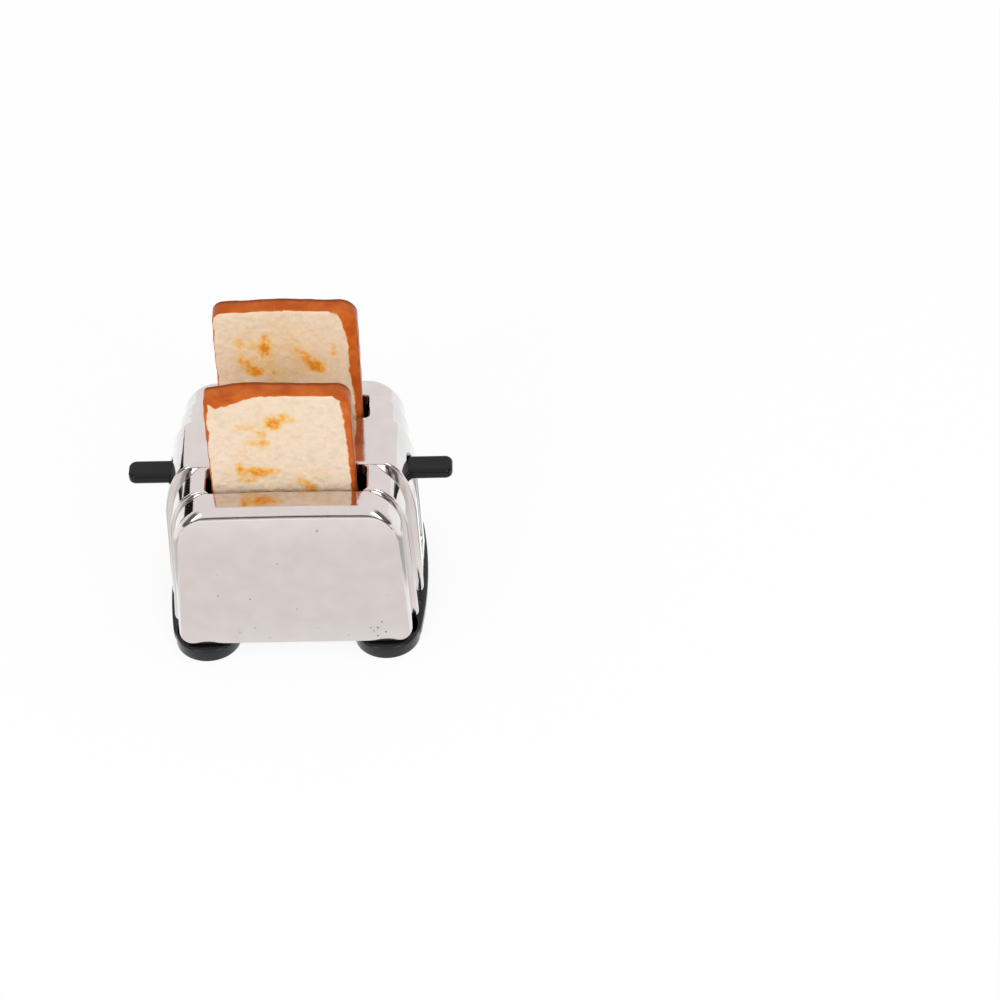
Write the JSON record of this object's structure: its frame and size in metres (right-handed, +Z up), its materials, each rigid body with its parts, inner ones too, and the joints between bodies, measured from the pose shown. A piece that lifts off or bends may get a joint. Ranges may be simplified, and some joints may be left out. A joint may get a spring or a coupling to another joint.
{
  "type": "toy toaster",
  "caption": "Doll's-house pop-up toaster: stepped chrome body, sprung lever carriage, black end feet and loose slices of toast.",
  "frame": {"origin": "centre of the footprint, on the surface that the foot pads stand on", "axes": "+X towards the right lever seen from the front, +Y towards the back, +Z up"},
  "size_m": [0.0256, 0.0166, 0.0268],
  "materials": {
    "plated_casting": "bright plating on a small zinc casting, fine casting pits",
    "base_plastic": "plain black moulding",
    "foot_plastic": "glossy black moulding",
    "screw_steel": "plain small screws",
    "bright_steel": "bright thin steel",
    "spring_steel": "drawn spring wire",
    "lever_enamel": "glossy black enamel",
    "clay_toast": "polymer clay bread, toasted by brush, glossy brown crust"
  },
  "bodies": {
    "housing": {"body_shell": "plated_casting", "base_plate": "base_plastic", "end_foot_left": "foot_plastic", "end_foot_right": "foot_plastic", "foot_screws": "screw_steel", "guide_post": "bright_steel", "lift_spring": "spring_steel"},
    "carriage": {"lever_bar": "lever_enamel", "bread_cradle": "bright_steel", "cradle_rivets": "bright_steel"},
    "front_slice": {"toast_front": "clay_toast"},
    "back_slice": {"toast_back": "clay_toast"}
  },
  "joints": [
    {"name": "lever_slide", "type": "slide", "parent": "housing", "child": "carriage", "axis": [0, 0, 1], "range_m": [-0.0081, 0], "stiffness_N_per_m": 15, "springref_m": 0.002, "deforming": ["lift_spring"]},
    {"name": "toast_front_lift", "type": "slide", "parent": "carriage", "child": "front_slice", "axis": [0, 0, 1], "range_m": [0, 0.012]},
    {"name": "toast_back_lift", "type": "slide", "parent": "carriage", "child": "back_slice", "axis": [0, 0.061, 0.9981], "range_m": [0, 0.012]}
  ]
}
